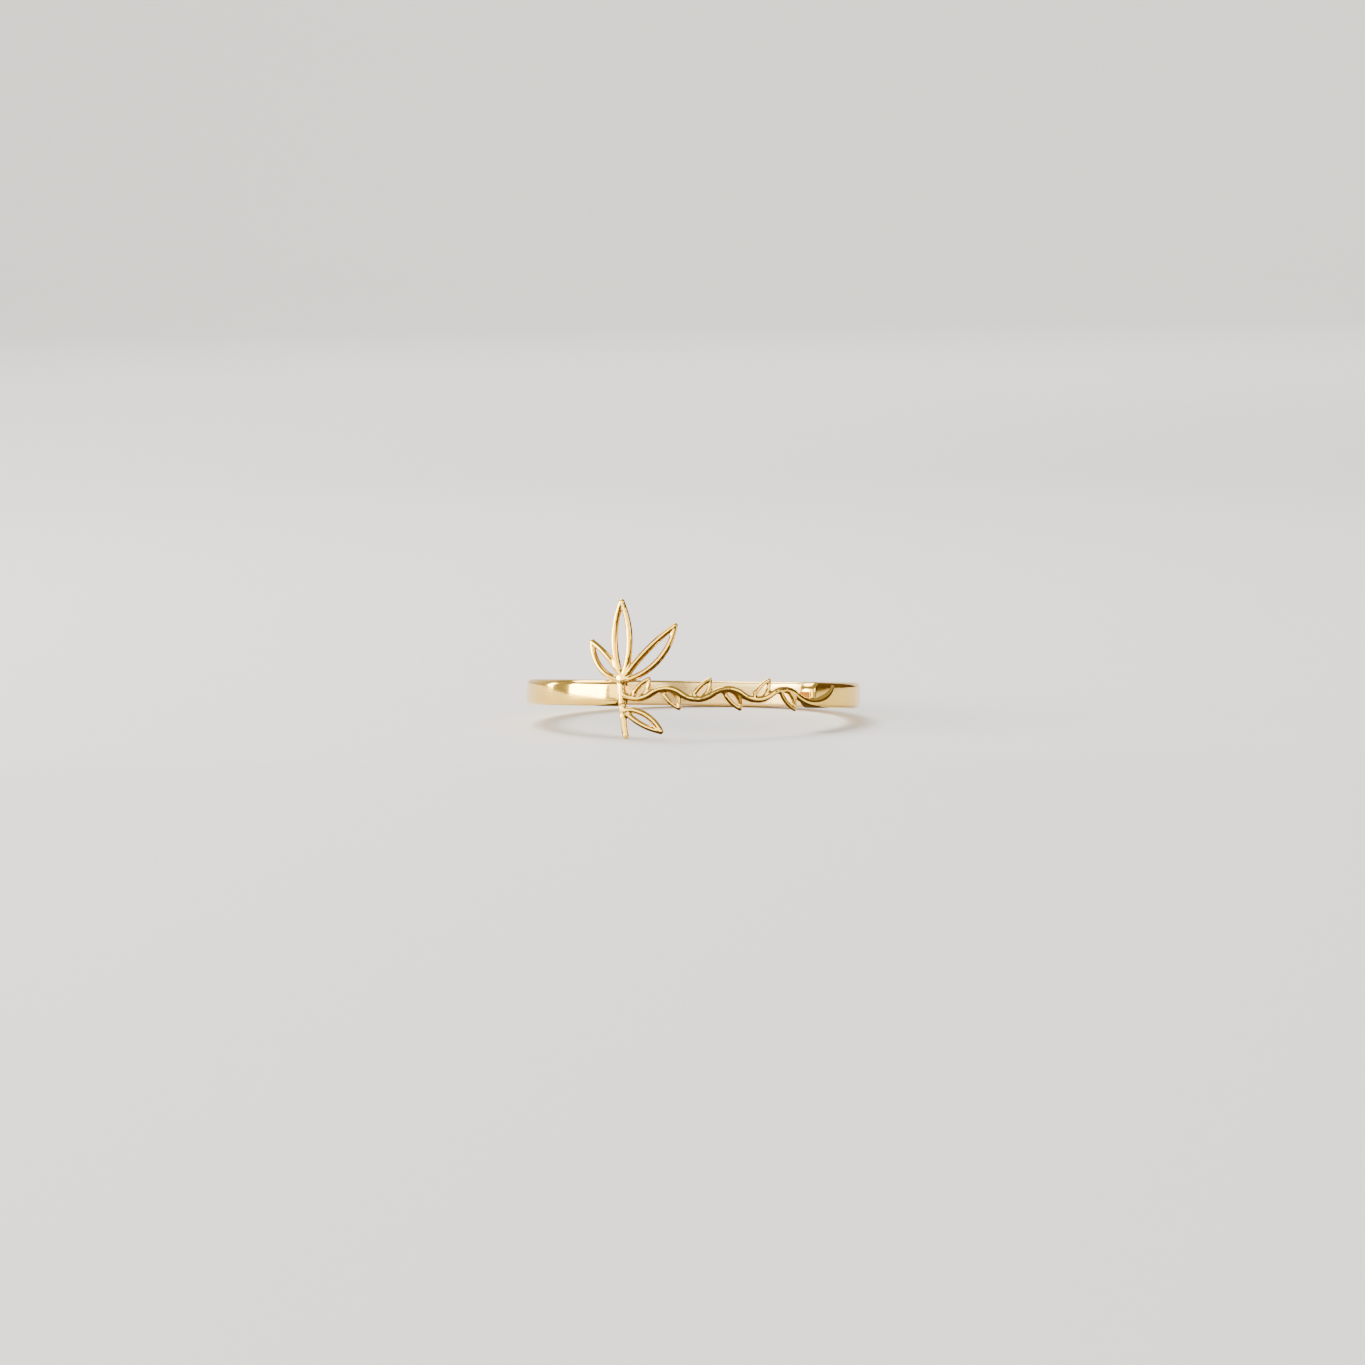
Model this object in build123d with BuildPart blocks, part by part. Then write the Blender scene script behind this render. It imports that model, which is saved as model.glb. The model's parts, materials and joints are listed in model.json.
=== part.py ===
from build123d import *
import os
from math import asin, atan, atan2, cos, degrees, hypot, radians, sin, tan

# Name ring: an open band whose gap is bridged by a soldered wire flourish, one solid of gold.
# Millimetres. Upright frame: the ring's axis is +Z, the band's middle height is z = 0 and the
# middle of the front is at -Y. Angles run round from the front, positive towards +X. Places on
# the flourish are (run, rise): run along the unrolled outer face from the stalk, rise up the axis.
# At the end the ring is laid on its side, tipped as it rests by itself on a table.

# Band
finger_bore = 17.3
band_thickness = 1.1
band_width = 1.5
outer_edge_round = 0.3
inner_edge_round = 0.18
stalk_angle = -25.3
stalk_end_round = 0.3
free_end_angle = 44.0
free_end_round = 0.55

# Wire of the flourish
wire_width = 0.42
wire_stand = 0.04
tip_width = 0.36
bead_share = 1.06
second_side_share = 0.94

# Sprig of leaves at the left, its stalk past the band's upper and lower edge
sprig_height = 4.45
leaf_seat = 0.15
leaf_tip_width = 0.32
stalk_above_band = 0.15
stalk_below_band = 1.66
stalk_foot_run = 0.26
stalk_bow = 0.1
lower_leaf_start = 0.2
lower_leaf_run = 2.25
lower_leaf_fall = 1.2
lower_leaf_bulge = 0.3
lower_leaf_lean = 0.1
lower_leaf_wire = 0.34

# Vine along the gap, its leaves, and its tail on the band
vine_half_waves = 6
vine_bend = 37.0
vine_wire = 0.37
vine_leaf_share = 0.36
vine_leaf_length = 1.5
vine_leaf_wire = 0.28
vine_leaf_tip = 0.23
vine_leaf_angle = 47.0
vine_leaf_bulge = 0.27
vine_leaf_lean = 0.12
tail_length = 2.9
tail_past_free_end = 1.81
tail_rise = 0.42
tail_bend = 46.0
tail_swell = 0.6
tail_lift = 0.19

outer_radius = finger_bore / 2 + band_thickness
middle_radius = outer_radius - band_thickness / 2
wire_radius = outer_radius + wire_stand - wire_width / 2
gap_run = radians(free_end_angle - stalk_angle) * outer_radius
vine_length = gap_run + tail_past_free_end - tail_length
stalk_top = (0.0, band_width / 2 + stalk_above_band)
stalk_foot = (stalk_foot_run, -band_width / 2 - stalk_below_band)
even_shares = (0.0, 0.25, 0.5, 0.75, 1.0)


def outward(angle):
    """Unit vector out of the ring at an angle round from the front."""
    return Vector(sin(radians(angle)), -cos(radians(angle)), 0)


def bowed_path(start, stop, bow, shares=even_shares):
    """Stations (run, rise, heading) along an arc from start to stop that bows to its left."""
    chord_run = stop[0] - start[0]
    chord_rise = stop[1] - start[1]
    chord = hypot(chord_run, chord_rise)
    half_turn = 2 * atan(2 * bow / chord)
    radius = chord / (2 * sin(half_turn))
    chord_heading = atan2(chord_rise, chord_run)
    stations = []
    for share in shares:
        turn = half_turn * (2 * share - 1)
        ahead = chord / 2 + radius * sin(turn)
        aside = radius * (cos(turn) - cos(half_turn))
        run = start[0] + ahead * cos(chord_heading) - aside * sin(chord_heading)
        rise = start[1] + ahead * sin(chord_heading) + aside * cos(chord_heading)
        stations.append((run, rise, chord_heading - turn))
    return stations


def wire_plane(run, rise, heading, lift=0.0):
    """Plane across a wire whose middle lies on the cylinder of the flourish."""
    angle = stalk_angle + degrees(run / outer_radius)
    around = outward(angle + 90)
    ahead = around * (cos(heading) * wire_radius / outer_radius) + Vector(0, 0, sin(heading))
    middle = outward(angle) * (wire_radius + lift) + Vector(0, 0, rise)
    return Plane(origin=middle, x_dir=outward(angle), z_dir=ahead)


def wire(stations):
    """Round wire through stations (run, rise, heading, width, lift)."""
    sections = []
    for run, rise, heading, width, lift in stations:
        with BuildSketch(wire_plane(run, rise, heading, lift), mode=Mode.PRIVATE) as section:
            Circle(width / 2)
        sections.append(section.sketch.face())
    loft(sections, clean=False)


def bead(run, rise, width, lift=0.0):
    """Rounded end of a wire, a little fuller than the wire itself."""
    with Locations(wire_plane(run, rise, 0.0, lift).origin):
        Sphere(width / 2 * bead_share)


def leaf(start, tip, bulge, lean, width, end_width):
    """Open leaf of two bowed wires that meet in a beaded tip, the second a little finer."""
    for bow, side_share in ((lean + bulge, 1.0), (lean - bulge, second_side_share)):
        widths = (width, width, width, (width + end_width) / 2, end_width)
        stations = bowed_path(start, tip, bow)
        wire([(*place, side_share * w, 0.0) for place, w in zip(stations, widths)])
    bead(*tip, end_width)


# Large leaves from their seat on the stalk, lengths as shares of the sprig's height and the
# wire as a share of the wire's width
large_leaves = [
    # start run, start rise, tip run, tip rise, bulge, lean, wire
    (0.00, 0.000, -0.017, 1.000, 0.109, 0.000, 0.95),
    (0.01, -0.010, 0.710, 0.697, 0.100, -0.060, 0.90),
    (0.00, -0.003, -0.465, 0.485, 0.091, 0.040, 0.90),
]

# Tail from the vine to its tip, widths as shares of the swell's, lifts of the tip's
tail_stations = [
    # share along the tail, width, lift
    (0.0, 0.62, 0.00),
    (0.2, 0.67, 0.05),
    (0.4, 0.84, 0.25),
    (0.6, 1.00, 0.50),
    (0.8, 0.76, 0.75),
    (1.0, 0.42, 1.00),
]

with BuildPart() as upright:
    # Open band, swept round the back from its free end to the stalk
    start_outward = outward(free_end_angle)
    start_plane = Plane((0, 0, 0), x_dir=start_outward, z_dir=start_outward.cross(Vector(0, 0, 1)))
    with BuildSketch(start_plane):
        with Locations((middle_radius, 0)):
            Rectangle(band_thickness, band_width)
    revolve(axis=Axis.Z, revolution_arc=360 - (free_end_angle - stalk_angle))
    for angle, end_round in ((free_end_angle, free_end_round), (stalk_angle, stalk_end_round)):
        end_face = faces().sort_by_distance(outward(angle) * middle_radius)[0]
        fillet(end_face.edges().filter_by(Axis((0, 0, 0), outward(angle))), end_round)
    outer_face = faces().filter_by(GeomType.CYLINDER).sort_by(SortBy.AREA)[-1]
    fillet(outer_face.edges(), outer_edge_round)
    inner_face = faces().filter_by(GeomType.CYLINDER).sort_by(SortBy.AREA)[-1]
    fillet(inner_face.edges(), inner_edge_round)

    # Stalk, whose foot reaches below the band
    stalk_widths = (wire_width, wire_width, wire_width, (wire_width + tip_width) / 2, tip_width)
    stalk_path = bowed_path(stalk_top, stalk_foot, -stalk_bow)
    wire([(*place, width, 0.0) for place, width in zip(stalk_path, stalk_widths)])
    bead(*stalk_top, wire_width)
    bead(*stalk_foot, tip_width)

    # Leaves of the sprig, the lower one with its tip a little higher than the stalk's foot
    seat_rise = stalk_top[1] - leaf_seat
    for start_run, start_rise, tip_run, tip_rise, bulge, lean, wire_share in large_leaves:
        leaf(
            (start_run * sprig_height, seat_rise + start_rise * sprig_height),
            (tip_run * sprig_height, seat_rise + tip_rise * sprig_height),
            bulge * sprig_height,
            lean * sprig_height,
            wire_share * wire_width,
            leaf_tip_width,
        )
    lower_leaf_rise = -band_width / 2 - lower_leaf_start
    lower_leaf_seat = stalk_foot_run / 2
    leaf(
        (lower_leaf_seat, lower_leaf_rise),
        (lower_leaf_seat + lower_leaf_run, lower_leaf_rise - lower_leaf_fall),
        lower_leaf_bulge,
        lower_leaf_lean,
        lower_leaf_wire,
        leaf_tip_width,
    )

    # Vine that sways along the gap and crests before the tail, with a leaf on each half wave
    half_wave = vine_length / vine_half_waves
    wave_bow = half_wave / 2 * tan(radians(vine_bend) / 2)
    leaf_heading = radians(vine_leaf_angle)
    vine_path = []
    for index in range(vine_half_waves):
        side = 1 if (vine_half_waves - index) % 2 == 1 else -1
        ends = ((index * half_wave, 0), ((index + 1) * half_wave, 0))
        arc_path = bowed_path(*ends, side * wave_bow)
        vine_path += [(*place, vine_wire, 0.0) for place in arc_path[:-1]]
        leaf_run, leaf_rise = bowed_path(*ends, side * wave_bow, [vine_leaf_share])[0][:2]
        leaf_tip = (
            leaf_run + vine_leaf_length * cos(leaf_heading),
            leaf_rise - side * vine_leaf_length * sin(leaf_heading),
        )
        leaf(
            (leaf_run, leaf_rise),
            leaf_tip,
            vine_leaf_bulge,
            side * vine_leaf_lean,
            vine_leaf_wire,
            vine_leaf_tip,
        )

    # Tail, which swells, stands a little proud and ends in a tip on the band
    tail_end = (vine_length + tail_length, tail_rise)
    tail_bow = -hypot(tail_length, tail_rise) / 2 * tan(radians(tail_bend) / 2)
    for along, width_share, lift_share in tail_stations:
        place = bowed_path((vine_length, 0), tail_end, tail_bow, [along])[0]
        vine_path.append((*place, width_share * tail_swell, lift_share * tail_lift))
    wire(vine_path)
    bead(*tail_end, tail_stations[-1][1] * tail_swell, tail_lift)

# Rest pose: the ring lies on the stalk's foot and on the band's far edge, with its centre of
# mass over the line between them. Headings run round to the point where the edge touches.
mass_centre = upright.part.center(CenterOf.MASS)
foot_middle = wire_plane(*stalk_foot, 0.0).origin
edge_reach = outer_radius - outer_edge_round
edge_rise = outer_edge_round - band_width / 2
round_difference = outer_edge_round - tip_width / 2 * bead_share


def resting_tilt(heading):
    """Tilt in radians that sets the foot and the edge at this heading at one height."""
    spread = edge_reach - foot_middle.dot(outward(heading))
    drop = edge_rise - foot_middle.Z
    return atan2(drop, spread) - asin(round_difference / hypot(drop, spread))


def weight_side(heading):
    """Which side of the line from foot to edge the centre of mass is on, by its sign."""
    tilt = resting_tilt(heading)
    level = outward(heading) * cos(tilt) + Vector(0, 0, sin(tilt))
    edge_ahead = edge_reach * cos(tilt) + edge_rise * sin(tilt)
    foot_aside = foot_middle.dot(outward(heading + 90))
    mass_aside = mass_centre.dot(outward(heading + 90))
    foot_behind = edge_ahead - foot_middle.dot(level)
    mass_behind = edge_ahead - mass_centre.dot(level)
    return mass_aside * foot_behind - foot_aside * mass_behind


# The heading is between the one straight across from the foot and that of the centre of mass
across_heading = (180 + stalk_angle + degrees(stalk_foot_run / outer_radius)) % 360
mass_heading = degrees(atan2(mass_centre.X, -mass_centre.Y)) % 360
for halving in range(40):
    rest_heading = (across_heading + mass_heading) / 2
    if weight_side(rest_heading) * weight_side(mass_heading) > 0:
        mass_heading = rest_heading
    else:
        across_heading = rest_heading
tipping_axis = Axis((0, 0, 0), outward(rest_heading + 90))
resting = upright.part.rotate(tipping_axis, degrees(resting_tilt(rest_heading)))

# The middle of the footprint, at the table, is the origin
box = resting.bounding_box()
with BuildPart() as ring:
    with Locations((-box.center().X, -box.center().Y, -box.min.Z)):
        add(resting)

ring.part.label = "ring"
os.makedirs("parts", exist_ok=True)
export_step(ring.part, "parts/ring.step")
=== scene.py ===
# %% [markdown]
# # An open gold ring with a wire flourish
#
# The ring is a narrow polished band whose front is left open. A flourish of soldered wire, a sprig
# of open leaves and a swaying vine, bridges the gap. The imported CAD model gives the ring's place
# and its box, and this lesson builds the ring again in Blender with the rounding, the solder
# fillets and the polish of the real thing.

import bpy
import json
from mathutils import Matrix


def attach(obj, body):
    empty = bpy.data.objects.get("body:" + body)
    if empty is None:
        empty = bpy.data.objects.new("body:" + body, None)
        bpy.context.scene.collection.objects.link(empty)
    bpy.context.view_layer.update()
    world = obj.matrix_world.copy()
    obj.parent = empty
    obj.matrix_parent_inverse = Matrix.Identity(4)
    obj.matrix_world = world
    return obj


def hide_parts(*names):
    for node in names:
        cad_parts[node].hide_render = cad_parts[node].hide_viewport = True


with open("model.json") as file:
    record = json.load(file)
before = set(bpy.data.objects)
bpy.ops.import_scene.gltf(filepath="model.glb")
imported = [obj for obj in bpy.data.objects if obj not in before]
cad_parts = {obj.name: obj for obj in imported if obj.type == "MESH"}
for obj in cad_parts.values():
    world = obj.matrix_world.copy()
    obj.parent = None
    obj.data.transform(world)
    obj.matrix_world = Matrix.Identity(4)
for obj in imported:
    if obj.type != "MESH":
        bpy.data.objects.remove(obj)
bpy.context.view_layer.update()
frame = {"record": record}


# %% [markdown]
# ## Where the ring lies
#
# The ring rests on its side, tipped a few degrees by the foot of the sprig. It is easier to build
# it upright, in millimetres, with its axis along Z and its front towards -Y, and to lay the
# finished mesh down in one move. The record gives the finger hole's centre and axis, and the
# shortest turn from Z to that axis is how the ring tips, so no angle has to be typed in.

# %% Turn from the upright ring to its resting place
import json
from math import atan, atan2, ceil, cos, degrees, hypot, pi, radians, sin, tan

import bmesh
import bpy
from mathutils import Matrix, Vector

metres_per_mm = 0.001
finger_hole = frame["record"]["mounts"][0]
ring_axis = Vector(finger_hole["axis"]).normalized()
ring_centre = Vector(finger_hole["pos_m"])
upright_to_rest = (
    Matrix.Translation(ring_centre)
    @ Vector((0, 0, 1)).rotation_difference(ring_axis).to_matrix().to_4x4()
    @ Matrix.Scale(metres_per_mm, 4)
)
print("the ring's axis leans", round(degrees(ring_axis.angle(Vector((0, 0, 1)))), 2), "degrees")

# %% [markdown]
# ## The band
#
# Sizes are millimetres of the real ring. They are those of the solid model, so that the two agree
# to a hair, but for two that belong to the finish: the slight crown of the outer face, which the
# solid hasn't, and the round of the end behind the stalk, 0.36 here and 0.30 there. Angles run
# round the ring from the middle of its front, in degrees.

# %% Sizes of the band
finger_bore = 2 * finger_hole["dims"]["r_mm"]
band_thickness = 1.1
band_width = 1.5
band_crown = 0.03
outer_edge_round = 0.3
inner_edge_round = 0.18
stalk_angle = -25.3
stalk_end_round = 0.36
free_end_angle = 44.0
free_end_round = 0.55

outer_radius = finger_bore / 2 + band_thickness
middle_radius = outer_radius - band_thickness / 2
gap_run = radians(free_end_angle - stalk_angle) * outer_radius
print("outer radius", outer_radius, "mm, the gap is", round(gap_run, 2), "mm along the outer face")

# %% [markdown]
# A goldsmith makes such a band from a straight bar of rectangular wire: the ends are filed round,
# the edges are eased, and the bar is bent around a mandrel. A swept profile would give the same
# band but not its filed ends. So the mesh follows the goldsmith: a long box, its upright end
# edges bevelled, then the rims of its outer and inner face, and only then the bend.

# %% A straight bar with rounded ends and eased edges
end_segments = 10
rim_segments = 8
same_place = 1e-4


def round_edges(bar, edges, size, segments):
    """Bevel edges of a bar to a round of this size."""
    bmesh.ops.bevel(
        bar, geom=edges, offset=size, offset_type="OFFSET", affect="EDGES",
        segments=segments, profile=0.5, material=-1, clamp_overlap=True,
    )


def rounded_bar(length, thickness, width, end_rounds):
    """Bar along X, its outer face towards +Y, its ends rounded and its rims eased."""
    bar = bmesh.new()
    bmesh.ops.create_cube(bar, size=1.0, matrix=Matrix.Diagonal((length, thickness, width, 1.0)))
    for side, size in zip((-1, 1), end_rounds):
        end_edges = [
            edge for edge in bar.edges
            if all(abs(vert.co.x - side * length / 2) < same_place for vert in edge.verts)
            and abs(edge.verts[0].co.y - edge.verts[1].co.y) > thickness / 2
        ]
        round_edges(bar, end_edges, size, end_segments)
    for side, size in ((1, outer_edge_round), (-1, inner_edge_round)):
        rim = [
            edge for edge in bar.edges
            if all(abs(vert.co.y - side * thickness / 2) < same_place for vert in edge.verts)
        ]
        round_edges(bar, rim, size, rim_segments)
    return bar


# %% [markdown]
# A bar bends smoothly only if it is cut across often enough. Its ends get a much finer net than
# the rest, on the outer face in both directions, because the wires are joined to them: faces of
# about the wires' own size unite with them cleanly and shade without streaks.

# %% Cut the bar for its bend, finest at its ends
crown_cuts = (-0.24, -0.12, 0.0, 0.12, 0.24)
fine_step = 0.045
on_the_cut = 1e-5
near_the_cut = 0.008
long_edge = 3 * fine_step
facing_out = 0.99


def each_once(elements):
    """List of elements without repeats, in the same order at every run, as a set's isn't."""
    return list(dict.fromkeys(elements))


def cut_across(bar, place, direction):
    """Cut the whole bar by a plane, keeping both sides."""
    whole = bar.verts[:] + bar.edges[:] + bar.faces[:]
    bmesh.ops.bisect_plane(bar, geom=whole, dist=on_the_cut, plane_co=place, plane_no=direction)


def cut_for_bend(bar, length, width, fine_ends, bends):
    """Cut a bar for its crown, closely over its fine ends, and evenly between them."""
    for share in crown_cuts:
        cut_across(bar, (0, 0, share * width), (0, 0, 1))
    for side, fine_length in zip((-1, 1), fine_ends):
        for step in range(int(fine_length / fine_step)):
            along = length / 2 - fine_length + step * fine_step
            cut_across(bar, (side * along, 0, 0), (1, 0, 0))
    long_edges = [
        edge for edge in bar.edges
        if abs(edge.verts[0].co.x - edge.verts[1].co.x) > long_edge
    ]
    bmesh.ops.subdivide_edges(bar, edges=long_edges, cuts=bends, use_grid_fill=True)


def cut_outer_ends(bar, length, width, fine_ends):
    """Cut the outer face along its length as well, only over its fine ends."""
    rows = int((width / 2 - outer_edge_round) / fine_step)
    for row in range(-rows, rows + 1):
        fine_faces = [
            face for face in bar.faces
            if face.normal.y > facing_out and (
                face.calc_center_median().x < fine_ends[0] - length / 2
                or face.calc_center_median().x > length / 2 - fine_ends[1]
            )
        ]
        fine_edges = each_once(edge for face in fine_faces for edge in face.edges)
        fine_verts = each_once(vert for face in fine_faces for vert in face.verts)
        bmesh.ops.bisect_plane(
            bar, geom=fine_faces + fine_edges + fine_verts, dist=near_the_cut,
            plane_co=(0, 0, row * fine_step), plane_no=(0, 0, 1),
        )


# %% [markdown]
# Bending is one rule for every vertex: its place along the bar becomes an angle round the ring.
# Before the bend the outer face gets its crown, three hundredths of a millimetre, because a
# polishing wheel never leaves a face quite flat, and a crown is what gives the long highlight its
# rounded ends.

# %% Bend the bar around the finger
def outward(angle):
    """Unit vector out of the ring at an angle round from the front, in degrees."""
    return Vector((sin(radians(angle)), -cos(radians(angle)), 0))


def bend_bar(bar, start_angle, length, thickness, width):
    """Bend a straight bar round the ring from its start angle, its outer face crowned."""
    for vert in bar.verts:
        along, out, rise = vert.co
        if out > 0:
            out += band_crown * (1 - (2 * rise / width) ** 2) * 2 * out / thickness
        angle = start_angle + degrees((along + length / 2) / outer_radius)
        vert.co = outward(angle) * (middle_radius + out) + Vector((0, 0, rise))
    bmesh.ops.recalc_face_normals(bar, faces=bar.faces)


def add_object(name, data):
    """New object of a mesh, lamp or camera, linked to the scene."""
    added = bpy.data.objects.new(name, data)
    bpy.context.scene.collection.objects.link(added)
    return added


def bent_bar(name, start_angle, stop_angle, inset, end_rounds, fine_ends, bends):
    """Mesh object of a bent bar, a little smaller than the band all round by the inset."""
    margin = degrees(inset / outer_radius)
    length = radians(stop_angle - start_angle - 2 * margin) * outer_radius
    thickness = band_thickness - 2 * inset
    width = band_width - 2 * inset
    bar = rounded_bar(length, thickness, width, end_rounds)
    cut_for_bend(bar, length, width, fine_ends, bends)
    cut_outer_ends(bar, length, width, fine_ends)
    bend_bar(bar, start_angle + margin, length, thickness, width)
    mesh = bpy.data.meshes.new(name)
    bar.to_mesh(mesh)
    bar.free()
    print(name, "has", len(mesh.polygons), "faces")
    return add_object(name, mesh)


# %% The band
band_stop_angle = 360 + stalk_angle
band_fine_ends = (2.7, 1.1)
band_bends = 300
band = bent_bar(
    "band", free_end_angle, band_stop_angle, 0.0,
    (free_end_round, stalk_end_round), band_fine_ends, band_bends,
)

# %% [markdown]
# ## The wires of the flourish
#
# Each wire is a thin round rod that hugs the outside of the ring. A curve with a round bevel would
# do, but its ends stay flat and its width is hard to steer. Here a circle is set across the wire
# at every station, and neighbouring circles are bridged. The paths are circular arcs that bow to
# one side, as wire does when it is bent between two pairs of pliers. Places on them are pairs: the
# run along the unrolled outer face, counted from the stalk, and the rise up the ring's axis.

# %% Paths of the wires
wire_step = 0.09
fewest_steps = 6


def shares_for(length):
    """Even shares from 0 to 1, one for each step of wire."""
    count = max(fewest_steps, ceil(length / wire_step))
    return [number / count for number in range(count + 1)]


def bowed_path(start, stop, bow, shares=None):
    """Stations (run, rise, heading) along an arc from start to stop that bows to its left."""
    chord_run = stop[0] - start[0]
    chord_rise = stop[1] - start[1]
    chord = hypot(chord_run, chord_rise)
    half_turn = 2 * atan(2 * bow / chord)
    radius = chord / (2 * sin(half_turn))
    chord_heading = atan2(chord_rise, chord_run)
    stations = []
    for share in shares or shares_for(chord):
        turn = half_turn * (2 * share - 1)
        ahead = chord / 2 + radius * sin(turn)
        aside = radius * (cos(turn) - cos(half_turn))
        run = start[0] + ahead * cos(chord_heading) - aside * sin(chord_heading)
        rise = start[1] + ahead * sin(chord_heading) + aside * cos(chord_heading)
        stations.append((run, rise, chord_heading - turn))
    return stations


def value_along(values, share):
    """Value at a share of the way through evenly spaced values."""
    spot = share * (len(values) - 1)
    before = min(int(spot), len(values) - 2)
    return values[before] + (values[before + 1] - values[before]) * (spot - before)


def tapered(path, widths, width_share=1.0):
    """Stations of a path with widths spread evenly along it, flat on the ring."""
    last = len(path) - 1
    return [
        (*place, width_share * value_along(widths, number / last), 0.0)
        for number, place in enumerate(path)
    ]


# %% Places on the ring
wire_width = 0.42
wire_stand = 0.04
wire_radius = outer_radius + wire_stand - wire_width / 2


def wire_place(run, rise, heading, lift=0.0):
    """Matrix of a place on the flourish, X out of the ring and Z along the wire."""
    angle = stalk_angle + degrees(run / outer_radius)
    around = outward(angle + 90)
    ahead = around * (cos(heading) * wire_radius / outer_radius) + Vector((0, 0, sin(heading)))
    ahead.normalize()
    place = Matrix((outward(angle), ahead.cross(outward(angle)), ahead)).transposed().to_4x4()
    place.translation = outward(angle) * (wire_radius + lift) + Vector((0, 0, rise))
    return place


print("the wires' middle lies", round(wire_radius, 3), "mm from the ring's axis")

# %% [markdown]
# A wire's end is closed by a bead, a touch fuller than the wire, as where a torch has drawn the
# tip into a ball. A leaf is two wires that bow apart and meet in one bead, and where it leaves its
# stalk it gets a larger bead, the solder. Beads and wires overlap for now. They are fused further
# on.

# %% Wires, beads and leaves
wire_sides = 20
bead_rounding = 3
bead_share = 1.06
solder_share = 1.2
second_side_share = 0.94
solder_spots = []


def draw_wire(flourish, stations):
    """Closed round wire through stations (run, rise, heading, width, lift)."""
    circles = []
    for number, (run, rise, heading, width, lift) in enumerate(stations):
        at_end = number in (0, len(stations) - 1)
        circle = bmesh.ops.create_circle(
            flourish, cap_ends=at_end, segments=wire_sides, radius=width / 2,
            matrix=wire_place(run, rise, heading, lift),
        )
        circles.append(each_once(edge for vert in circle["verts"] for edge in vert.link_edges))
    for behind, ahead in zip(circles, circles[1:]):
        bmesh.ops.bridge_loops(flourish, edges=behind + ahead)


def draw_bead(flourish, run, rise, width, lift=0.0):
    """Round bead, such as the end of a wire or a spot of solder."""
    bmesh.ops.create_icosphere(
        flourish, subdivisions=bead_rounding, radius=width / 2,
        matrix=wire_place(run, rise, 0.0, lift),
    )


def draw_leaf(flourish, start, tip, bulge, lean, width, end_width):
    """Open leaf of two bowed wires that meet in a beaded tip, the second a little finer."""
    widths = (width, width, width, (width + end_width) / 2, end_width)
    for bow, width_share in ((lean + bulge, 1.0), (lean - bulge, second_side_share)):
        draw_wire(flourish, tapered(bowed_path(start, tip, bow), widths, width_share))
    draw_bead(flourish, *tip, bead_share * end_width)
    solder_spots.append((*start, solder_share * width))


# %% [markdown]
# ## The sprig
#
# The sprig stands on the band's left end: a stalk that reaches below the band, three large leaves
# at its top and a small one low on its right.

# %% The stalk
tip_width = 0.36
stalk_above_band = 0.15
stalk_below_band = 1.66
stalk_foot_run = 0.26
stalk_bow = 0.1
stalk_top = (0.0, band_width / 2 + stalk_above_band)
stalk_foot = (stalk_foot_run, -band_width / 2 - stalk_below_band)
stalk_widths = (wire_width, wire_width, wire_width, (wire_width + tip_width) / 2, tip_width)

flourish = bmesh.new()
draw_wire(flourish, tapered(bowed_path(stalk_top, stalk_foot, -stalk_bow), stalk_widths))
draw_bead(flourish, *stalk_top, bead_share * wire_width)
draw_bead(flourish, *stalk_foot, bead_share * tip_width)
print("the stalk runs from", stalk_top, "to", stalk_foot)

# %% Three large leaves and a lower one
sprig_height = 4.45
leaf_seat = 0.15
leaf_tip_width = 0.32
lower_leaf_start = 0.2
lower_leaf_run = 2.25
lower_leaf_fall = 1.2
lower_leaf_bulge = 0.3
lower_leaf_lean = 0.1
lower_leaf_wire = 0.34

large_leaves = [
    # start run, start rise, tip run, tip rise, bulge, lean as shares of the height, wire
    (0.00, 0.000, -0.017, 1.000, 0.109, 0.000, 0.95),
    (0.01, -0.010, 0.710, 0.697, 0.100, -0.060, 0.90),
    (0.00, -0.003, -0.465, 0.485, 0.091, 0.040, 0.90),
]
seat_rise = stalk_top[1] - leaf_seat
for start_run, start_rise, tip_run, tip_rise, bulge, lean, wire_share in large_leaves:
    draw_leaf(
        flourish,
        (start_run * sprig_height, seat_rise + start_rise * sprig_height),
        (tip_run * sprig_height, seat_rise + tip_rise * sprig_height),
        bulge * sprig_height, lean * sprig_height, wire_share * wire_width, leaf_tip_width,
    )
lower_leaf_rise = -band_width / 2 - lower_leaf_start
lower_leaf_seat = stalk_foot_run / 2
draw_leaf(
    flourish,
    (lower_leaf_seat, lower_leaf_rise),
    (lower_leaf_seat + lower_leaf_run, lower_leaf_rise - lower_leaf_fall),
    lower_leaf_bulge, lower_leaf_lean, lower_leaf_wire, leaf_tip_width,
)
print("the sprig has", len(flourish.verts), "vertices before it is fused")

# %% [markdown]
# ## The vine and its tail
#
# The vine sways up and down along the gap and carries one small open leaf on each half wave. Past
# the last crest it dips, swells to nearly twice its width and ends in a fine tip on the band.

# %% The vine and its leaves
vine_half_waves = 6
vine_bend = 37.0
vine_wire = 0.37
vine_leaf_share = 0.36
vine_leaf_length = 1.5
vine_leaf_wire = 0.28
vine_leaf_tip = 0.23
vine_leaf_angle = 47.0
vine_leaf_bulge = 0.27
vine_leaf_lean = 0.12
tail_length = 2.9
tail_past_free_end = 1.81

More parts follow.
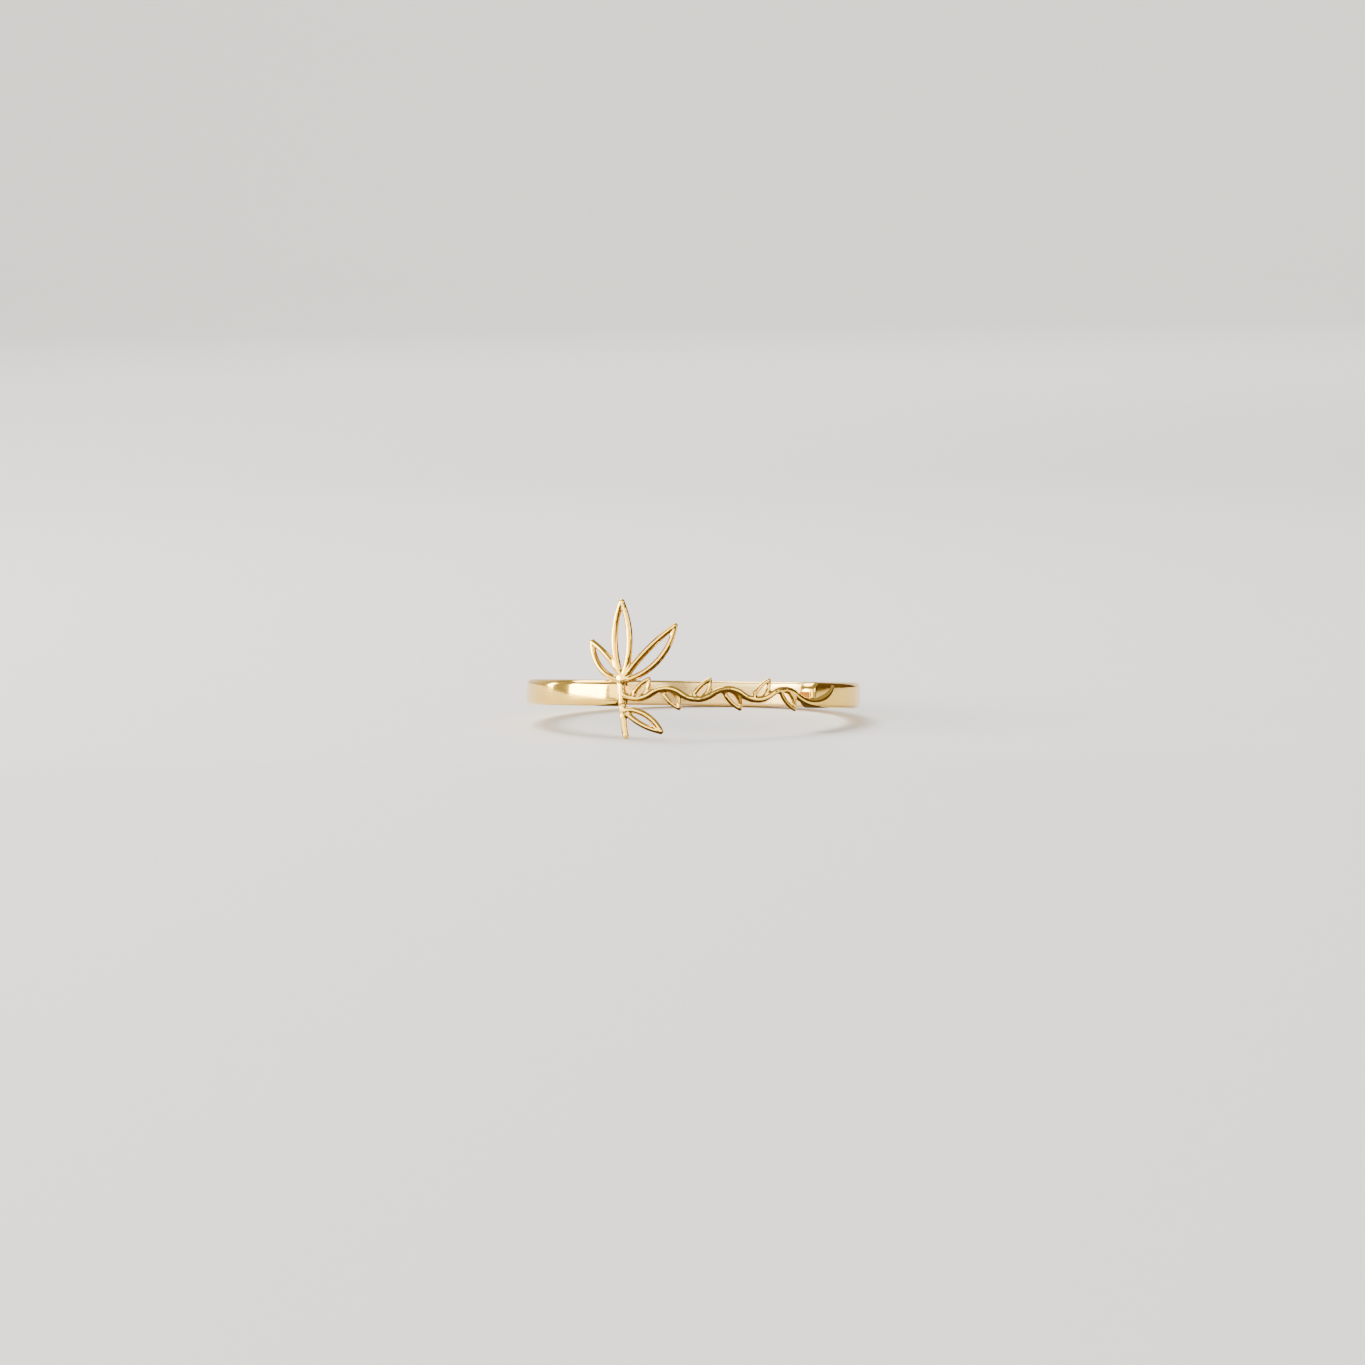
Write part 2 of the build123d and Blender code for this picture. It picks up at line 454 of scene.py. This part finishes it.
vine_length = gap_run + tail_past_free_end - tail_length
half_wave = vine_length / vine_half_waves
wave_bow = half_wave / 2 * tan(radians(vine_bend) / 2)
leaf_heading = radians(vine_leaf_angle)
vine_path = []
for index in range(vine_half_waves):
    side = 1 if (vine_half_waves - index) % 2 == 1 else -1
    ends = ((index * half_wave, 0), ((index + 1) * half_wave, 0))
    vine_path += [(*place, vine_wire, 0.0) for place in bowed_path(*ends, side * wave_bow)[:-1]]
    leaf_run, leaf_rise = bowed_path(*ends, side * wave_bow, [vine_leaf_share])[0][:2]
    leaf_tip = (
        leaf_run + vine_leaf_length * cos(leaf_heading),
        leaf_rise - side * vine_leaf_length * sin(leaf_heading),
    )
    draw_leaf(
        flourish, (leaf_run, leaf_rise), leaf_tip,
        vine_leaf_bulge, side * vine_leaf_lean, vine_leaf_wire, vine_leaf_tip,
    )
print("the vine is", round(vine_length, 2), "mm long without its tail")

# %% The tail
tail_rise = 0.42
tail_bend = 46.0
tail_swell = 0.6
tail_lift = 0.19
tail_stations = [
    # width as a share of the swell, lift as a share of the tip's
    (0.62, 0.00),
    (0.67, 0.05),
    (0.84, 0.25),
    (1.00, 0.50),
    (0.76, 0.75),
    (0.42, 1.00),
]
width_shares, lift_shares = zip(*tail_stations)
tail_end = (vine_length + tail_length, tail_rise)
tail_bow = -hypot(tail_length, tail_rise) / 2 * tan(radians(tail_bend) / 2)
tail_shares = shares_for(tail_length)
tail_path = bowed_path((vine_length, 0), tail_end, tail_bow, tail_shares)
for place, share in zip(tail_path, tail_shares):
    width = tail_swell * value_along(width_shares, share)
    lift = tail_lift * value_along(lift_shares, share)
    vine_path.append((*place, width, lift))
draw_wire(flourish, vine_path)
draw_bead(flourish, *tail_end, bead_share * width_shares[-1] * tail_swell, tail_lift)
print("the flourish has", len(flourish.verts), "vertices before it is fused")

# %% [markdown]
# ## Solder
#
# On the real ring the wires are soldered, and the gold solder draws a small smooth web into every
# corner between them. Booleans alone would leave knife-sharp creases there. So the wires, the
# beads of solder and two short stubs just under the skin of the band are turned into one shell by
# a fine voxel remesh, and the shell is smoothed, most of all near the joints. Smoothing draws the
# wires a little thinner, so they are swollen by as much before.

# %% Solder beads and a slight swelling
smooth_swell = 0.012

for run, rise, width in solder_spots:
    draw_bead(flourish, run, rise, width)
bmesh.ops.recalc_face_normals(flourish, faces=flourish.faces)
for face in flourish.faces:
    face.normal_update()
for vert in flourish.verts:
    vert.normal_update()
swollen = [(vert, vert.co + vert.normal * smooth_swell) for vert in flourish.verts]
for vert, place in swollen:
    vert.co = place
print("soldered at", len(solder_spots), "spots")

# %% Stubs under the skin of the band's two ends
stub_inset = 0.018
stub_cut_round = 0.4
stub_fine_ends = (0.8, 0.6)
stub_bends = 8
free_end_stub = 15
stalk_end_stub = 9
stubs = [
    # start angle, stop angle, rounds of its two ends
    (free_end_angle, free_end_angle + free_end_stub, (free_end_round, stub_cut_round)),
    (band_stop_angle - stalk_end_stub, band_stop_angle, (stub_cut_round, stalk_end_round)),
]
for start_angle, stop_angle, end_rounds in stubs:
    stub = bent_bar(
        "stub", start_angle, stop_angle, stub_inset, end_rounds, stub_fine_ends, stub_bends
    )
    flourish.from_mesh(stub.data)
    bpy.data.objects.remove(stub)

# %% Fuse the wires with their solder
voxel_size = 0.038


def finished_mesh(holder):
    """Mesh of an object with its modifiers applied."""
    bpy.context.view_layer.update()
    depsgraph = bpy.context.evaluated_depsgraph_get()
    return bpy.data.meshes.new_from_object(holder.evaluated_get(depsgraph))


loose_wires = bpy.data.meshes.new("wires")
flourish.to_mesh(loose_wires)
flourish.free()
holder = add_object("wires", loose_wires)
voxels = holder.modifiers.new("fuse", "REMESH")
voxels.mode = "VOXEL"
voxels.voxel_size = voxel_size
fused_wires = finished_mesh(holder)
bpy.data.objects.remove(holder)
print("the fused flourish has", len(fused_wires.polygons), "faces")

# %% Smooth the shell, most of all at its joints
overall_passes = 6
joint_passes = 16
joint_reach = 0.42


def smooth(shell, verts, passes):
    """Ease vertices towards their neighbours a number of times."""
    for number in range(passes):
        bmesh.ops.smooth_vert(
            shell, verts=verts, factor=0.5, use_axis_x=True, use_axis_y=True, use_axis_z=True
        )


joint_places = [wire_place(run, rise, 0.0).translation for run, rise, width in solder_spots]
shell = bmesh.new()
shell.from_mesh(fused_wires)
smooth(shell, shell.verts, overall_passes)
near_joints = [
    vert for vert in shell.verts
    if min((vert.co - place).length for place in joint_places) < joint_reach
]
smooth(shell, near_joints, joint_passes)
shell.to_mesh(fused_wires)
shell.free()

# %% [markdown]
# ## One solid of gold
#
# The fused flourish and the bent band overlap at the two joints. A union with the Manifold solver
# drops what lies inside and leaves one closed skin. Then the mesh is laid down at its resting
# place in metres, in its vertices, so that the object itself stays at the origin. Two empty
# material slots tell the faces of the wires from those of the band.

# %% Unite the band and the flourish
for mesh in (band.data, fused_wires):
    for slot_number in range(2):
        mesh.materials.append(None)
for face in fused_wires.polygons:
    face.material_index = 1
wires = add_object("wires", fused_wires)
union = band.modifiers.new("union", "BOOLEAN")
union.operation = "UNION"
union.solver = "MANIFOLD"
union.object = wires
ring_mesh = finished_mesh(band)
for leftover in (band, wires):
    bpy.data.objects.remove(leftover)
ring_mesh.name = "gold_ring"
ring_mesh.transform(upright_to_rest)
ring_mesh.shade_smooth()
ring = add_object("gold_ring", ring_mesh)
print("the ring has", len(ring_mesh.polygons), "faces")

# %% [markdown]
# Where wire meets band the two surfaces turn sharply, and smooth shading would smear the light
# across that line. The faces still know which of the two they came from, so the edges between
# them are marked sharp and shade cleanly.

# %% Sharpen the seam and check the skin
skin = bmesh.new()
skin.from_mesh(ring_mesh)
seam_edges = [
    edge for edge in skin.edges
    if len({face.material_index for face in edge.link_faces}) > 1
]
for edge in seam_edges:
    edge.smooth = False
for face in skin.faces:
    face.material_index = 0
skin.to_mesh(ring_mesh)
print("the seam between wires and band has", len(seam_edges), "edges")
open_edges = sum(1 for edge in skin.edges if not edge.is_manifold)
triangles = sum(len(face.verts) - 2 for face in skin.faces)
print("the ring has", triangles, "triangles,", open_edges, "open edges")
print("volume", round(skin.calc_volume() / metres_per_mm ** 3, 3), "cubic millimetres")
skin.free()

# %% Tie the ring to the frame
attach(ring, "root")
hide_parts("ring")
print(ring.name, "rides on root and stands for the solid")

# %% [markdown]
# ## The gold
#
# Fourteen-carat yellow gold is paler than pure gold. On a polished piece nearly all colour comes
# from reflections, so the material is a metal with a low roughness, and what makes it real is
# small: faint waves and hairlines left by the polishing wheel outside, and a satin finger hole
# whose lines run round, where only a felt stick can reach.
#
# Both kinds of line are the same effect with other sizes, so they are one node group. It reads
# places in the upright ring's own millimetres, turns them into a run round the ring and a rise, and
# stretches a noise along the run. The angle jumps from one turn to the next at the ring's front,
# where the band is open, so the jump doesn't show.

# %% Node group: lines that run round the ring
lines_group = bpy.data.node_groups.new("lines_round_the_ring", "ShaderNodeTree")
for way, socket_name, kind in (
    ("INPUT", "Place", "NodeSocketVector"),
    ("INPUT", "Line Length", "NodeSocketFloat"),
    ("INPUT", "Line Width", "NodeSocketFloat"),
    ("OUTPUT", "Height", "NodeSocketFloat"),
):
    lines_group.interface.new_socket(socket_name, in_out=way, socket_type=kind)


def group_math(operation, first, second=None):
    """Math node of the group, fed by sockets or by a number."""
    node = lines_group.nodes.new("ShaderNodeMath")
    node.operation = operation
    for number, value in enumerate((first, second)):
        if isinstance(value, float):
            node.inputs[number].default_value = value
        elif value is not None:
            lines_group.links.new(value, node.inputs[number])
    return node.outputs["Value"]


group_in = lines_group.nodes.new("NodeGroupInput")
group_out = lines_group.nodes.new("NodeGroupOutput")
place_parts = lines_group.nodes.new("ShaderNodeSeparateXYZ")
lines_group.links.new(group_in.outputs["Place"], place_parts.inputs["Vector"])
across, back, rise = (place_parts.outputs[axis_name] for axis_name in "XYZ")
run_round = group_math("MULTIPLY", group_math("ARCTAN2", across, back), outer_radius)
spread = group_math("ADD", group_math("ABSOLUTE", across), group_math("ABSOLUTE", back))
stretched = lines_group.nodes.new("ShaderNodeCombineXYZ")
for axis_name, value, size in (
    ("X", run_round, "Line Length"),
    ("Y", rise, "Line Width"),
    ("Z", spread, "Line Length"),
):
    scaled = group_math("DIVIDE", value, group_in.outputs[size])
    lines_group.links.new(scaled, stretched.inputs[axis_name])
line_noise = lines_group.nodes.new("ShaderNodeTexNoise")
line_noise.inputs["Scale"].default_value = 1.0
line_noise.inputs["Detail"].default_value = 3.0
lines_group.links.new(stretched.outputs["Vector"], line_noise.inputs["Vector"])
lines_group.links.new(line_noise.outputs["Fac"], group_out.inputs["Height"])
print("the line group has", len(lines_group.nodes), "nodes")

# %% A metal, and the upright ring's millimetres to paint it by
gold = bpy.data.materials.new("polished_gold")
gold.use_nodes = True
nodes = gold.node_tree.nodes
links = gold.node_tree.links
metal = nodes["Principled BSDF"]
metal.inputs["Metallic"].default_value = 1.0

object_place = nodes.new("ShaderNodeTexCoord")
upright_place = nodes.new("ShaderNodeMapping")
upright_place.vector_type = "TEXTURE"
upright_place.inputs["Location"].default_value = ring_centre
upright_place.inputs["Rotation"].default_value = upright_to_rest.to_euler()
upright_place.inputs["Scale"].default_value = (metres_per_mm,) * 3
links.new(object_place.outputs["Object"], upright_place.inputs["Vector"])
turn_angles = [round(degrees(angle), 2) for angle in upright_to_rest.to_euler()]
print("the gold's pattern is turned by", turn_angles, "degrees, as the ring is")


# %% Helpers for noise, lines, grades and mixes
def noise(scale, detail):
    """Noise over the upright ring, its scale per millimetre."""
    texture = nodes.new("ShaderNodeTexNoise")
    texture.inputs["Scale"].default_value = scale
    texture.inputs["Detail"].default_value = detail
    links.new(upright_place.outputs["Vector"], texture.inputs["Vector"])
    return texture.outputs["Fac"]


def ring_lines(length, width):
    """Height of lines that run round the ring, sizes in millimetres."""
    lines = nodes.new("ShaderNodeGroup")
    lines.node_tree = lines_group
    lines.inputs["Line Length"].default_value = length
    lines.inputs["Line Width"].default_value = width
    links.new(upright_place.outputs["Vector"], lines.inputs["Place"])
    return lines.outputs["Height"]


def graded(value, low, high, from_low=0.0, from_high=1.0):
    """Value moved from one range to another and kept inside it."""
    grade = nodes.new("ShaderNodeMapRange")
    for socket, number in (
        ("From Min", from_low), ("From Max", from_high), ("To Min", low), ("To Max", high)
    ):
        grade.inputs[socket].default_value = number
    links.new(value, grade.inputs["Value"])
    return grade.outputs["Result"]


def mixed(kind, share, first, second):
    """Mix of two sockets or two colours by a share. Returns its result socket."""
    mix = nodes.new("ShaderNodeMix")
    mix.data_type = kind
    sockets = [socket for socket in mix.inputs if socket.enabled]
    for socket, value in zip(sockets, (share, first, second)):
        if isinstance(value, tuple):
            socket.default_value = value
        else:
            links.new(value, socket)
    return [socket for socket in mix.outputs if socket.enabled][0]


# %% [markdown]
# The finger side is told from the outside by its distance from the ring's axis. The change from
# one to the other runs over the eased edge, about a tenth of a millimetre.

# %% Mask of the finger side
finger_side_ends = finger_bore / 2 + 0.02
outside_starts = finger_bore / 2 + 0.14

flat_place = nodes.new("ShaderNodeVectorMath")
flat_place.operation = "MULTIPLY"
flat_place.inputs[1].default_value = (1.0, 1.0, 0.0)
links.new(upright_place.outputs["Vector"], flat_place.inputs[0])
from_axis = nodes.new("ShaderNodeVectorMath")
from_axis.operation = "LENGTH"
links.new(flat_place.outputs["Vector"], from_axis.inputs[0])
finger_side = graded(from_axis.outputs["Value"], 1.0, 0.0, finger_side_ends, outside_starts)
print("the finger side ends", round(finger_side_ends, 2), "mm from the axis")

# %% [markdown]
# The masks and lines now feed the metal. Its tone drifts by a few percent, as an alloy does after
# soldering, the finger side is a little paler and rougher, and two bumps carry the lines and the
# slow waves of the wheel. Nearly all values of a noise lie between 0.35 and 0.65, so that range is
# spread over the whole of each grade.

# %% Tone of the gold
noise_range = (0.35, 0.65)
drift = graded(noise(0.35, 3), 0.0, 1.0, *noise_range)
outside_tone = mixed("RGBA", drift, (0.91, 0.56, 0.085, 1), (0.945, 0.62, 0.12, 1))
inside_tone = mixed("RGBA", drift, (0.90, 0.61, 0.20, 1), (0.94, 0.67, 0.25, 1))
links.new(mixed("RGBA", finger_side, outside_tone, inside_tone), metal.inputs["Base Color"])

# %% Roughness of the gold
hairlines = ring_lines(length=1.6, width=0.02)
satin_lines = ring_lines(length=4.0, width=0.035)
outside_range = (0.05, 0.12)
inside_range = (0.20, 0.30)
outside_roughness = graded(hairlines, *outside_range, *noise_range)
inside_roughness = graded(satin_lines, *inside_range, *noise_range)
roughness = mixed("FLOAT", finger_side, outside_roughness, inside_roughness)
links.new(roughness, metal.inputs["Roughness"])
print("roughness outside", outside_range, "and on the finger side", inside_range)

# %% Relief of the gold
hairline_height = graded(hairlines, 0.0, 0.12)
satin_height = graded(satin_lines, 0.0, 1.0)
line_relief = nodes.new("ShaderNodeBump")
line_relief.inputs["Strength"].default_value = 0.25
line_relief.inputs["Distance"].default_value = 0.003 * metres_per_mm
links.new(
    mixed("FLOAT", finger_side, hairline_height, satin_height), line_relief.inputs["Height"]
)
wave_relief = nodes.new("ShaderNodeBump")
wave_relief.inputs["Strength"].default_value = 0.05
wave_relief.inputs["Distance"].default_value = 0.05 * metres_per_mm
links.new(noise(0.7, 1), wave_relief.inputs["Height"])
links.new(line_relief.outputs["Normal"], wave_relief.inputs["Normal"])
links.new(wave_relief.outputs["Normal"], metal.inputs["Normal"])

ring.data.materials.clear()
ring.data.materials.append(gold)
print("the gold has", len(nodes), "nodes")

# %% [markdown]
# ## The studio
#
# The ring lies on a plain pale floor that curves up far away, so that no horizon shows and the
# gold has something pale to reflect from every side. The bowl is one profile spun round.

# %% Floor and walls in one bowl
floor_radius = 0.9
floor_shares = (0.1, 0.3, 0.6, 1.0)
wall_radius = 1.5
wall_height = 0.9
wall_steps = 12
bowl_steps = 96

profile = [(floor_radius * share, 0.0) for share in floor_shares]
for step in range(1, wall_steps + 1):
    turn = pi / 2 * step / wall_steps
    profile.append(
        (floor_radius + (wall_radius - floor_radius) * sin(turn), wall_height * (1 - cos(turn)))
    )
bowl = bmesh.new()
rim = [bowl.verts.new((0, 0, 0))]
edges = []
for radius, height in profile:
    rim.append(bowl.verts.new((radius, 0, height)))
    edges.append(bowl.edges.new((rim[-2], rim[-1])))
bmesh.ops.spin(
    bowl, geom=rim + edges, cent=(0, 0, 0), axis=(0, 0, 1), angle=2 * pi, steps=bowl_steps,
    use_merge=True,
)
bmesh.ops.remove_doubles(bowl, verts=bowl.verts, dist=1e-6)
bmesh.ops.recalc_face_normals(bowl, faces=bowl.faces)
for face in bowl.faces:
    face.smooth = True
bowl_mesh = bpy.data.meshes.new("studio_floor")
bowl.to_mesh(bowl_mesh)
bowl.free()
studio_floor = add_object("studio_floor", bowl_mesh)
print("the studio's floor and walls have", len(bowl_mesh.polygons), "faces")


# %% Pale paper for the floor, and the room's light
def matt_material(name, colour, roughness):
    """Matt material of one colour, for what stands round the ring."""
    material = bpy.data.materials.new(name)
    material.use_nodes = True
    shader = material.node_tree.nodes["Principled BSDF"]
    shader.inputs["Base Color"].default_value = colour
    shader.inputs["Roughness"].default_value = roughness
    return material


studio_floor.data.materials.append(matt_material("pale_paper", (0.86, 0.84, 0.80, 1), 0.7))

room_strength = 0.45
world = bpy.data.worlds.new("soft_room")
world.use_nodes = True
background = world.node_tree.nodes["Background"]
background.inputs["Color"].default_value = (1.0, 0.97, 0.93, 1)
background.inputs["Strength"].default_value = room_strength
bpy.context.scene.world = world
print("the room's own light has a strength of", room_strength)

# %% [markdown]
# Polished metal shows its surroundings, so the lights are set out like what the gold reflects in
# the photograph: a bright window at the left with a narrow one beyond it, broad soft light in
# front, and more from above. Two lights turned to the walls keep the rest of the room pale. Dark
# warm cards at the right and behind, such as studios use for jewellery, give the wires their dark
# edge. Two more dark cards lie flat on the floor in front of and under the ring: they are painted
# shade, a shadowed floor that shows only in the gold's reflections, where it darkens the lower rims
# and the wires' lower edges. Neither cards nor lights show in the picture itself.

# %% Soft lights
light_colour = (1.0, 0.975, 0.94)


def around_ring(azimuth, distance, height):
    """Point round the ring: azimuth in degrees from the camera's side, positive to the right."""
    return Vector((distance * sin(radians(azimuth)), -distance * cos(radians(azimuth)), height))


def soft_light(name, place, size, power):
    """Area light that faces the ring."""
    light = bpy.data.lights.new(name, "AREA")
    light.shape = "RECTANGLE"
    light.size, light.size_y = size
    light.energy = power
    light.color = light_colour
    lamp = add_object(name, light)
    lamp.location = place
    lamp.rotation_euler = (ring_centre - place).to_track_quat("-Z", "Y").to_euler()
    lamp.visible_camera = False
    return lamp


soft_lights = [
    # name, azimuth, distance, height, width and height of the light, power in watts
    ("window", -78, 0.42, 0.07, (0.24, 0.13), 3.0),
    ("side_window", -116, 0.42, 0.07, (0.05, 0.13), 0.5),
    ("front_light", -30, 0.55, 0.16, (0.66, 0.30), 2.8),
    ("fill_light", 40, 0.55, 0.20, (0.30, 0.26), 1.1),
    ("top_light", -135, 0.24, 0.42, (0.34, 0.34), 4.0),
]
for name, azimuth, distance, height, size, power in soft_lights:
    soft_light(name, around_ring(azimuth, distance, height), size, power)
print("the ring is lit by", len(soft_lights), "soft lights")

# %% Lights turned to the walls
wall_light_size = (0.6, 0.2)
wall_light_distance = 0.45
wall_light_height = 0.55
wall_light_fall = 0.35


def wall_light(name, azimuth, power):
    """Wide light that washes the wall on one side and turns its back on the ring."""
    place = around_ring(azimuth, wall_light_distance, wall_light_height)
    lamp = soft_light(name, place, wall_light_size, power)
    to_the_wall = around_ring(azimuth, 1.0, -wall_light_fall)
    lamp.rotation_euler = to_the_wall.to_track_quat("-Z", "Y").to_euler()


wall_lights = [
    # name, azimuth, power in watts
    ("back_wall_light", 180, 8.0),
    ("front_wall_light", 0, 4.0),
]
for name, azimuth, power in wall_lights:
    wall_light(name, azimuth, power)
print("the walls are lit by", len(wall_lights), "lights")

# %% Dark cards
# One dark felt serves the standing cards and the flat ones, which are painted floor shade.
card_felt_and_painted_shade = matt_material("dark_felt_and_painted_floor_shade", (0.045, 0.026, 0.013, 1), 0.9)
card_lift = 0.0002


def dark_card(name, place, size, lies_flat):
    """Dark card that faces the ring, or lies flat as painted floor shade; shows only in
    reflections.
    """
    card = bmesh.new()
    look = Vector((0, 0, 1)) if lies_flat else ring_centre - place
    facing = look.to_track_quat("Z", "Y").to_matrix().to_4x4()
    scale = Matrix.Diagonal((size[0] / 2, size[1] / 2, 1, 1))
    spot = Matrix.Translation(place) @ facing @ scale
    bmesh.ops.create_grid(card, x_segments=1, y_segments=1, size=1.0, matrix=spot)
    mesh = bpy.data.meshes.new(name)
    card.to_mesh(mesh)
    card.free()
    mesh.materials.append(card_felt_and_painted_shade)
    stand = add_object(name, mesh)
    stand.visible_camera = False
    stand.visible_diffuse = False
    stand.visible_shadow = False


dark_cards = [
    # name, place, width and depth, whether it lies flat
    ("right_card", around_ring(85, 0.32, 0.11), (0.30, 0.24), False),
    ("back_card", around_ring(128, 0.32, 0.11), (0.28, 0.24), False),
    # These two lie flat on the floor: painted shade, a shadowed floor seen only in the gold's
    # reflections.
    ("painted_floor_shade_card", Vector((0.06, -0.14, card_lift)), (0.36, 0.24), True),
    ("painted_shadow_under_ring", Vector((0.001, -0.009, card_lift)), (0.014, 0.024), True),
]
for name, place, size, lies_flat in dark_cards:
    dark_card(name, place, size, lies_flat)
print("the ring's reflections are darkened by", len(dark_cards), "cards")

# %% [markdown]
# ## The camera
#
# The photograph looks at the ring square to its axis from about thirty centimetres with a long
# lens. The ring is a little right of and below the middle of the frame, and turned by half a
# degree.

# %% Camera square to the ring's axis
view_distance = 0.300
sensor_width = 36.0
picture_pixels = 1365
pixels_per_metre = 17080
ring_pixel = (693.5, 693.5)
picture_lean = radians(0.6)

view_direction = Vector((0, ring_axis.z, -ring_axis.y)).normalized()
level_right = Vector((1, 0, 0))
axis_lean = atan2(ring_axis.dot(level_right), ring_axis.dot(level_right.cross(view_direction)))
camera_turn = Matrix.Rotation(axis_lean - picture_lean, 3, view_direction)
camera_right = camera_turn @ level_right
camera_up = camera_right.cross(view_direction)

camera_data = bpy.data.cameras.new("photo_camera")
camera_data.sensor_width = sensor_width
camera_data.lens = sensor_width * view_distance * pixels_per_metre / picture_pixels
camera_data.clip_start = 0.01
camera_data.clip_end = 10.0
aim = (
    ring_centre
    - camera_right * (ring_pixel[0] - picture_pixels / 2) / pixels_per_metre
    + camera_up * (ring_pixel[1] - picture_pixels / 2) / pixels_per_metre
)
turned = Matrix((camera_right, camera_up, -view_direction)).transposed().to_4x4()
camera = add_object("photo_camera", camera_data)
camera.matrix_world = Matrix.Translation(aim - view_direction * view_distance) @ turned
bpy.context.scene.camera = camera
print("the camera stands", round(camera.matrix_world.translation.z * 1000, 1), "mm above the floor")

# %% Bring the scene up to date
bpy.context.view_layer.update()
